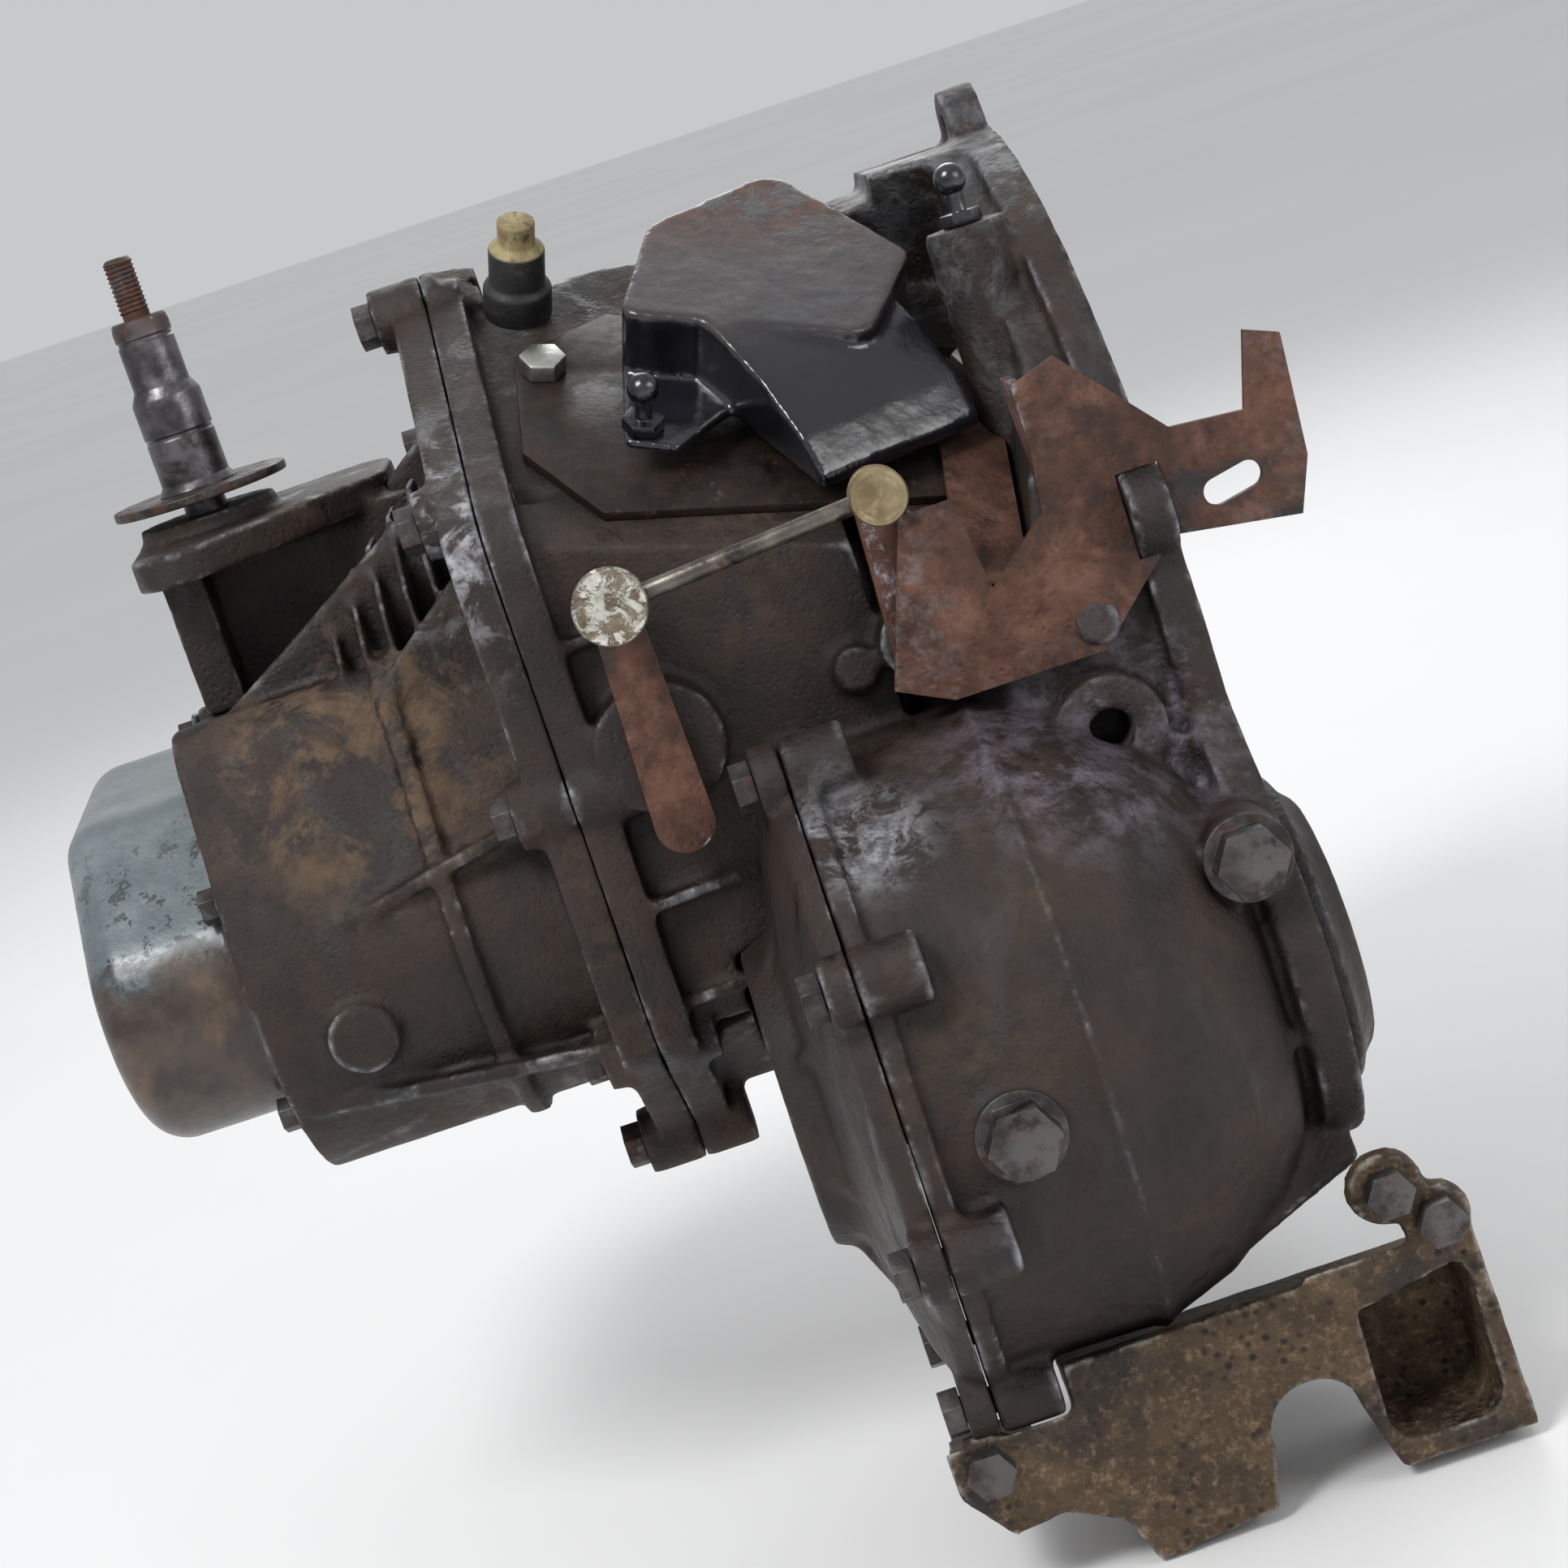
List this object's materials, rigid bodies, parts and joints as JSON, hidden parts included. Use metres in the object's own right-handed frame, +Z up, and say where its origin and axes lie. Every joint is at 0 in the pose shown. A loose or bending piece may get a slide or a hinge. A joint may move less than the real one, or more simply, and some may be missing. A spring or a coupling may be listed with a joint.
{
  "type": "manual transmission",
  "caption": "Transverse manual transaxle with bell housing, gear casing, stamped end cover, final drive, external shift linkage and engine mount stud.",
  "frame": {"origin": "input shaft axis in the engine mating plane", "axes": "+X out of the bell towards the engine, +Z up as mounted, -Y towards the final drive and the shift linkage"},
  "size_m": [0.4, 0.4393, 0.449],
  "materials": {
    "cast_grimy": "oily grime over a cast surface",
    "painted_cover": "chipped grey paint",
    "cast_tan": "dirty cast surface",
    "worn_steel": "worn",
    "dark_steel": "dark and oily",
    "rusty_sheet": "rusty",
    "black_gloss": "gloss black with rust",
    "black_plastic": "matte",
    "zinc": "bright zinc",
    "worn_cap": "worn plating",
    "seal_rubber": "matte",
    "brass_ring": "satin",
    "gear_steel": "ground and oiled"
  },
  "bodies": {
    "casing": {"clutch_housing": "cast_grimy", "gear_casing": "cast_grimy", "end_cover": "painted_cover", "differential_cover": "cast_grimy", "output_housing": "cast_grimy", "input_bearings": "gear_steel", "output_bearings": "gear_steel", "differential_bearings": "gear_steel", "output_seals": "seal_rubber", "selector_rail": "gear_steel", "reverse_idler_shaft": "gear_steel", "release_guide_tube": "gear_steel", "selector_plate": "dark_steel", "fixed_ball_studs": "dark_steel", "cable_bracket": "rusty_sheet", "reverse_light_switch": "black_plastic", "mount_bracket": "cast_grimy", "mount_stud": "worn_steel", "mount_washer": "dark_steel", "lower_bracket": "cast_tan", "casing_bolts": "dark_steel", "selector_bolts": "zinc", "oil_plugs": "dark_steel", "dowels": "worn_steel"},
    "input_train": {"input_shaft": "gear_steel", "input_gear_4": "gear_steel", "input_gear_5": "gear_steel"},
    "output_train": {"output_shaft": "gear_steel", "synchro_hubs": "gear_steel", "baulk_rings": "brass_ring"},
    "first_gear": {"driven_gear_1": "gear_steel"},
    "second_gear": {"driven_gear_2": "gear_steel"},
    "third_gear": {"driven_gear_3": "gear_steel"},
    "fourth_gear": {"driven_gear_4": "gear_steel"},
    "fifth_gear": {"driven_gear_5": "gear_steel"},
    "reverse_gear": {"reverse_driven_gear": "gear_steel"},
    "idler_gear": {"reverse_idler": "gear_steel"},
    "slider_12": {"sleeve_12": "gear_steel"},
    "slider_34": {"sleeve_34": "gear_steel"},
    "slider_5r": {"sleeve_5r": "gear_steel"},
    "shift_fork_12": {"fork_12": "gear_steel"},
    "shift_fork_34": {"fork_34": "gear_steel"},
    "shift_fork_5r": {"fork_5r": "gear_steel", "fork_rod_5r": "gear_steel"},
    "differential": {"crown_wheel": "gear_steel", "differential_case": "gear_steel", "planet_pin": "gear_steel"},
    "upper_planet": {"planet_gear_upper": "gear_steel"},
    "lower_planet": {"planet_gear_lower": "gear_steel"},
    "left_side_gear": {"side_gear_left": "gear_steel"},
    "right_side_gear": {"side_gear_right": "gear_steel"},
    "selector_rod": {"selector_shaft": "gear_steel"},
    "selector_lever": {"selector_weight": "black_gloss", "gear_ball_stud": "dark_steel"},
    "select_arm": {"select_lever": "rusty_sheet"},
    "select_rod": {"link_rod": "dark_steel", "rod_sockets": "worn_cap"},
    "bellcrank_arm": {"bellcrank": "rusty_sheet"},
    "clutch_lever": {"clutch_fork": "gear_steel"},
    "clutch_slider": {"release_bearing": "gear_steel"}
  },
  "joints": [
    {"name": "input_spin", "type": "hinge", "parent": "casing", "child": "input_train", "pos_m": [0, 0, 0], "axis": [1, 0, 0], "continuous": true},
    {"name": "final_drive_spin", "type": "hinge", "parent": "casing", "child": "differential", "pos_m": [0, -0.14936, -0.08627], "axis": [1, 0, 0], "continuous": true},
    {"name": "output_spin", "type": "hinge", "parent": "casing", "child": "output_train", "pos_m": [0, -0.07015, -0.0162], "axis": [1, 0, 0], "continuous": true},
    {"name": "first_gear_spin", "type": "hinge", "parent": "casing", "child": "first_gear", "pos_m": [0, -0.07015, -0.0162], "axis": [1, 0, 0], "continuous": true},
    {"name": "second_gear_spin", "type": "hinge", "parent": "casing", "child": "second_gear", "pos_m": [0, -0.07015, -0.0162], "axis": [1, 0, 0], "continuous": true},
    {"name": "third_gear_spin", "type": "hinge", "parent": "casing", "child": "third_gear", "pos_m": [0, -0.07015, -0.0162], "axis": [1, 0, 0], "continuous": true},
    {"name": "fourth_gear_spin", "type": "hinge", "parent": "casing", "child": "fourth_gear", "pos_m": [0, -0.07015, -0.0162], "axis": [1, 0, 0], "continuous": true},
    {"name": "fifth_gear_spin", "type": "hinge", "parent": "casing", "child": "fifth_gear", "pos_m": [0, -0.07015, -0.0162], "axis": [1, 0, 0], "continuous": true},
    {"name": "idler_spin", "type": "hinge", "parent": "casing", "child": "idler_gear", "pos_m": [0, -0.02426, 0.02009], "axis": [1, 0, 0], "continuous": true},
    {"name": "reverse_gear_spin", "type": "hinge", "parent": "casing", "child": "reverse_gear", "pos_m": [0, -0.07015, -0.0162], "axis": [1, 0, 0], "continuous": true},
    {"name": "fork_12_slide", "type": "slide", "parent": "casing", "child": "shift_fork_12", "axis": [1, 0, 0], "range_m": [-0.008, 0.008]},
    {"name": "sleeve_12_slide", "type": "slide", "parent": "output_train", "child": "slider_12", "axis": [1, 0, 0], "range_m": [-0.008, 0.008]},
    {"name": "fork_34_slide", "type": "slide", "parent": "casing", "child": "shift_fork_34", "axis": [1, 0, 0], "range_m": [-0.008, 0.008]},
    {"name": "sleeve_34_slide", "type": "slide", "parent": "output_train", "child": "slider_34", "axis": [1, 0, 0], "range_m": [-0.008, 0.008]},
    {"name": "fork_5r_slide", "type": "slide", "parent": "casing", "child": "shift_fork_5r", "axis": [1, 0, 0], "range_m": [-0.008, 0.008]},
    {"name": "sleeve_5r_slide", "type": "slide", "parent": "output_train", "child": "slider_5r", "axis": [1, 0, 0], "range_m": [-0.008, 0.008]},
    {"name": "left_side_gear_spin", "type": "hinge", "parent": "differential", "child": "left_side_gear", "pos_m": [-0.072, -0.14936, -0.08627], "axis": [1, 0, 0], "continuous": true},
    {"name": "right_side_gear_spin", "type": "hinge", "parent": "differential", "child": "right_side_gear", "pos_m": [-0.072, -0.14936, -0.08627], "axis": [1, 0, 0], "continuous": true},
    {"name": "upper_planet_spin", "type": "hinge", "parent": "differential", "child": "upper_planet", "pos_m": [-0.072, -0.14936, -0.08627], "axis": [0, 0, 1], "continuous": true},
    {"name": "lower_planet_spin", "type": "hinge", "parent": "differential", "child": "lower_planet", "pos_m": [-0.072, -0.14936, -0.08627], "axis": [0, 0, 1], "continuous": true},
    {"name": "select_arm_swing", "type": "hinge", "parent": "casing", "child": "select_arm", "pos_m": [-0.162, -0.1525, 0.028], "axis": [0, 1, 0], "range_deg": [-15, 15]},
    {"name": "select_rod_swing", "type": "hinge", "parent": "select_arm", "child": "select_rod", "pos_m": [-0.162, -0.1695, 0.075], "axis": [0, 1, 0], "range_deg": [-15, 15]},
    {"name": "bellcrank_swing", "type": "hinge", "parent": "casing", "child": "bellcrank_arm", "pos_m": [-0.08, -0.1525, 0.034], "axis": [0, 1, 0], "range_deg": [-15, 15]},
    {"name": "selector_rod_slide", "type": "slide", "parent": "casing", "child": "selector_rod", "axis": [0.2676, -0.5, 0.8236], "range_m": [-0.004, 0.004]},
    {"name": "selector_lever_swing", "type": "hinge", "parent": "selector_rod", "child": "selector_lever", "pos_m": [-0.09239, -0.08551, 0.12378], "axis": [0.2676, -0.5, 0.8236], "range_deg": [-10, 5]},
    {"name": "clutch_lever_swing", "type": "hinge", "parent": "casing", "child": "clutch_lever", "pos_m": [-0.078, 0.07, 0], "axis": [0, 0, 1], "range_deg": [0, 8]},
    {"name": "clutch_slider_slide", "type": "slide", "parent": "casing", "child": "clutch_slider", "axis": [1, 0, 0], "range_m": [0, 0.0101]}
  ],
  "couplings": [
    {"joint": "output_spin", "follows": "final_drive_spin", "ratio": -4.2222},
    {"joint": "first_gear_spin", "follows": "input_spin", "ratio": -0.28},
    {"joint": "second_gear_spin", "follows": "input_spin", "ratio": -0.52381},
    {"joint": "third_gear_spin", "follows": "input_spin", "ratio": -0.77778},
    {"joint": "fourth_gear_spin", "follows": "input_spin", "ratio": -1.0645},
    {"joint": "fifth_gear_spin", "follows": "input_spin", "ratio": -1.3704},
    {"joint": "idler_spin", "follows": "input_spin", "ratio": -0.75},
    {"joint": "reverse_gear_spin", "follows": "input_spin", "ratio": 0.33333},
    {"joint": "sleeve_12_slide", "follows": "fork_12_slide", "ratio": 1},
    {"joint": "sleeve_34_slide", "follows": "fork_34_slide", "ratio": 1},
    {"joint": "sleeve_5r_slide", "follows": "fork_5r_slide", "ratio": 1},
    {"joint": "right_side_gear_spin", "follows": "left_side_gear_spin", "ratio": -1},
    {"joint": "upper_planet_spin", "follows": "left_side_gear_spin", "ratio": 1.6},
    {"joint": "lower_planet_spin", "follows": "left_side_gear_spin", "ratio": -1.6},
    {"joint": "select_rod_swing", "follows": "select_arm_swing", "ratio": -1},
    {"joint": "bellcrank_swing", "follows": "select_arm_swing", "ratio": 1},
    {"joint": "selector_rod_slide", "follows": "select_arm_swing", "m_per_rad": 0.015279},
    {"joint": "clutch_slider_slide", "follows": "clutch_lever_swing", "m_per_rad": 0.07}
  ]
}
